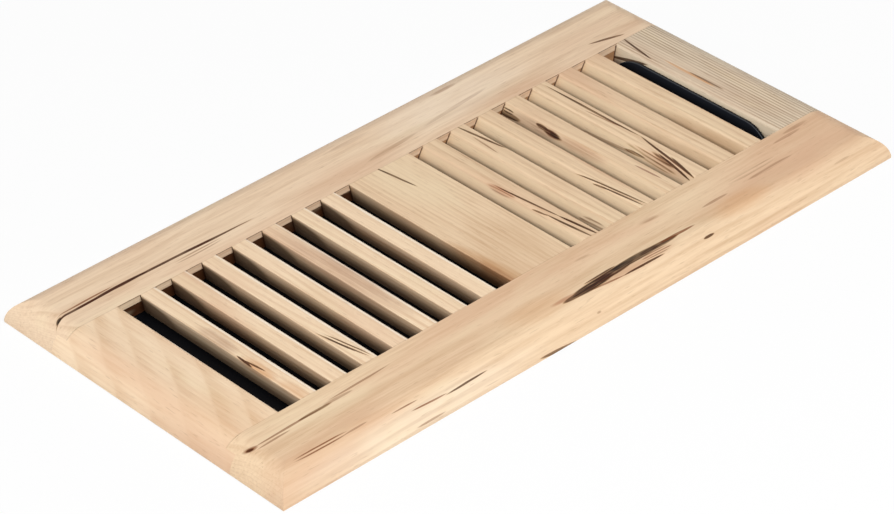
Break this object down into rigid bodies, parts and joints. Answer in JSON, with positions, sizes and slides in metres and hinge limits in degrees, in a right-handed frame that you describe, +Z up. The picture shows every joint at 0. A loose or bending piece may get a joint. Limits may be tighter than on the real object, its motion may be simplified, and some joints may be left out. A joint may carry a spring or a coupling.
{
  "type": "floor register",
  "caption": "Rectangular hardwood floor register with rounded-over edges, leaning louver slats and a sliding damper plate worked by a small finger tab.",
  "frame": {"origin": "centre of the underside, where the rails lie on the floor", "axes": "+X along the length towards the finger tab's end, +Y across the width, +Z up out of the floor"},
  "size_m": [0.3682, 0.1842, 0.012],
  "materials": {
    "hardwood": "unfinished sanded",
    "damper_plastic": "satin",
    "retainer_steel": "satin",
    "screw_steel": "zinc plated"
  },
  "bodies": {
    "register_frame": {"near_side_rail": "hardwood", "far_side_rail": "hardwood", "left_end_rail": "hardwood", "right_end_rail": "hardwood", "centre_rail": "hardwood", "left_slat_1": "hardwood", "left_slat_2": "hardwood", "left_slat_3": "hardwood", "left_slat_4": "hardwood", "left_slat_5": "hardwood", "left_slat_6": "hardwood", "left_slat_7": "hardwood", "right_slat_1": "hardwood", "right_slat_2": "hardwood", "right_slat_3": "hardwood", "right_slat_4": "hardwood", "right_slat_5": "hardwood", "right_slat_6": "hardwood", "right_slat_7": "hardwood", "near_retainer": "retainer_steel", "far_retainer": "retainer_steel"},
    "damper": {"near_damper_runner": "damper_plastic", "far_damper_runner": "damper_plastic", "damper_blade_1": "damper_plastic", "damper_blade_2": "damper_plastic", "damper_blade_3": "damper_plastic", "damper_blade_4": "damper_plastic", "damper_blade_5": "damper_plastic", "damper_blade_6": "damper_plastic", "damper_blade_7": "damper_plastic", "damper_blade_8": "damper_plastic", "damper_blade_9": "damper_plastic", "damper_blade_10": "damper_plastic", "damper_blade_11": "damper_plastic", "damper_blade_12": "damper_plastic", "damper_blade_13": "damper_plastic", "damper_blade_14": "damper_plastic", "damper_blade_15": "damper_plastic", "damper_tab_blade": "damper_plastic"}
  },
  "joints": [
    {"name": "damper_slide", "type": "slide", "parent": "register_frame", "child": "damper", "axis": [-1, 0, 0], "range_m": [0, 0.00866]}
  ]
}
